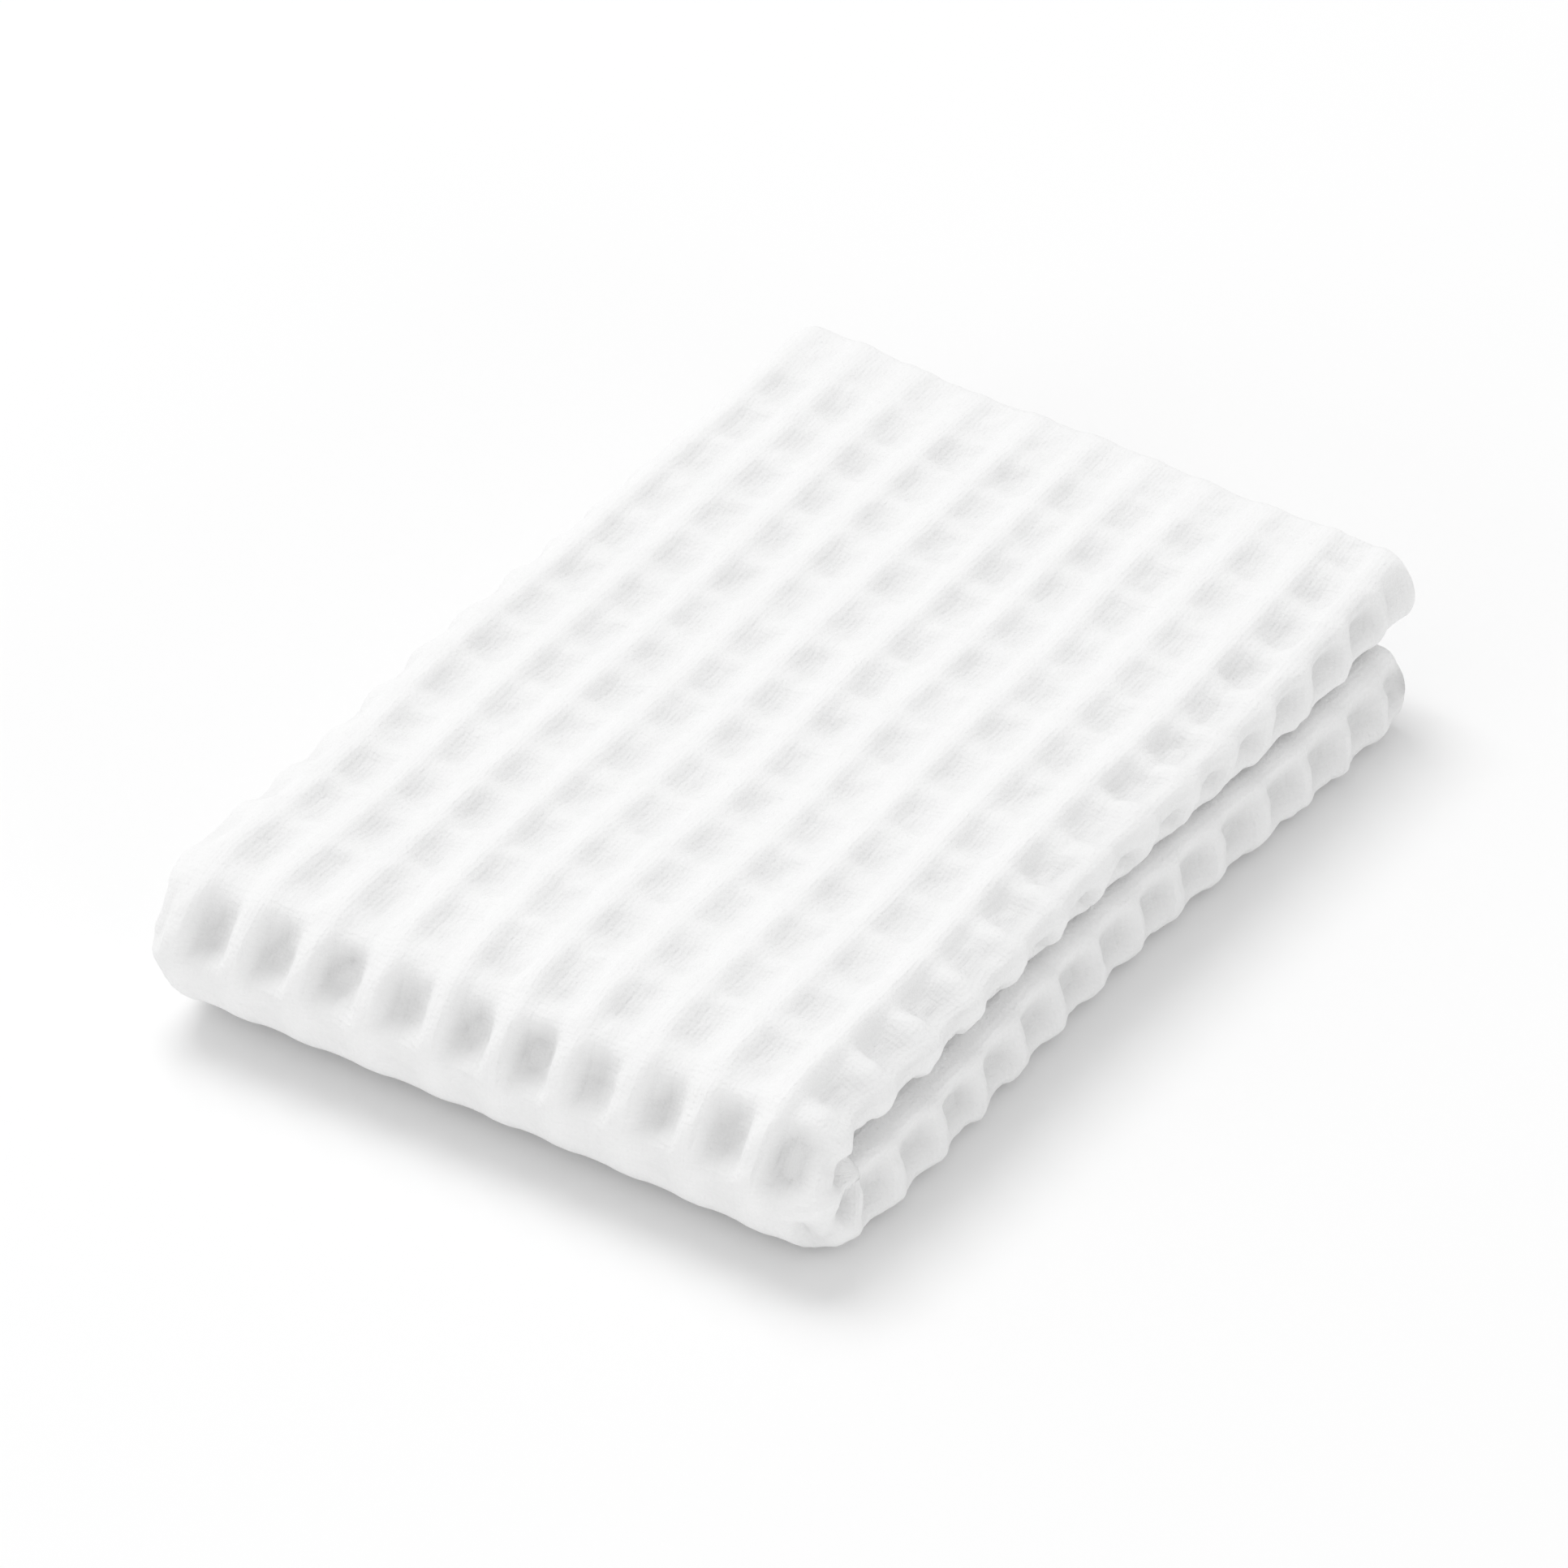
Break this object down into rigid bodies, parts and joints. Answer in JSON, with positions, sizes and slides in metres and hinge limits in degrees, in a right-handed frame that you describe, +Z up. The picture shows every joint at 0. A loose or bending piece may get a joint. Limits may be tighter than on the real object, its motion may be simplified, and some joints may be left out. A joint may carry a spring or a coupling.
{
  "type": "folded hand towel",
  "caption": "White cotton hand towel in a large square waffle weave, folded in thirds and then in half into a flat packet.",
  "frame": {"origin": "middle of the packet's footprint, at the height of its flat underside", "axes": "+Z up through the layers, +Y along the packet from its rounded front fold to its open ends, +X across it"},
  "size_m": [0.1228, 0.1732, 0.0288],
  "materials": {
    "cotton": "matte white waffle-weave cotton"
  },
  "bodies": {
    "root": {"towel": "cotton"}
  },
  "joints": []
}
